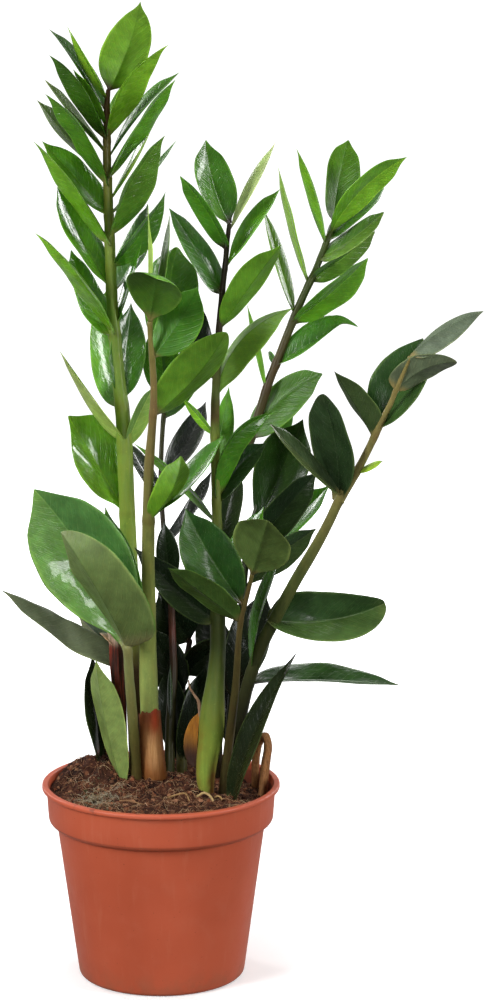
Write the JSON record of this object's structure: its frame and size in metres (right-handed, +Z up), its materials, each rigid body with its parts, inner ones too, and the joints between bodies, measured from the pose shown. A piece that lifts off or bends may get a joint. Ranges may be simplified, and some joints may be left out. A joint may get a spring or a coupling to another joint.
{
  "type": "potted zz plant",
  "caption": "Upright ZZ plant with arching fronds of glossy pointed leaflets on fleshy stalks, growing from compost in a round tapered terracotta-coloured plastic nursery pot.",
  "frame": {"origin": "centre of the pot's flat underside", "axes": "+Z up, -Y towards the front of the plant as pictured, +X to the right of that view"},
  "size_m": [0.3302, 0.2459, 0.6915],
  "materials": {
    "pot_plastic": "satin terracotta-coloured polypropylene",
    "compost": "loose brown peat and coir fibre with a few pale straws",
    "zz_green": "waxy glossy upper leaf faces, duller undersides, smooth green to brownish stalks",
    "dry_sheath": "papery tan and brown",
    "dry_scale": "dry ochre",
    "dead_stalk": "shrivelled red-brown with a pale torn top",
    "root": "rough brown skin"
  },
  "bodies": {
    "root": {"pot": "pot_plastic", "soil": "compost", "frond_a": "zz_green", "frond_b": "zz_green", "frond_c": "zz_green", "frond_d": "zz_green", "frond_e": "zz_green", "frond_f": "zz_green", "frond_g": "zz_green", "frond_h": "zz_green", "frond_i": "zz_green", "frond_j": "zz_green", "leaf_c4": "zz_green", "leaf_c5": "zz_green", "leaf_f10": "zz_green", "sheath_b": "dry_sheath", "scale_d": "dry_scale", "dead_stub": "dead_stalk", "arching_root": "root"}
  },
  "joints": []
}
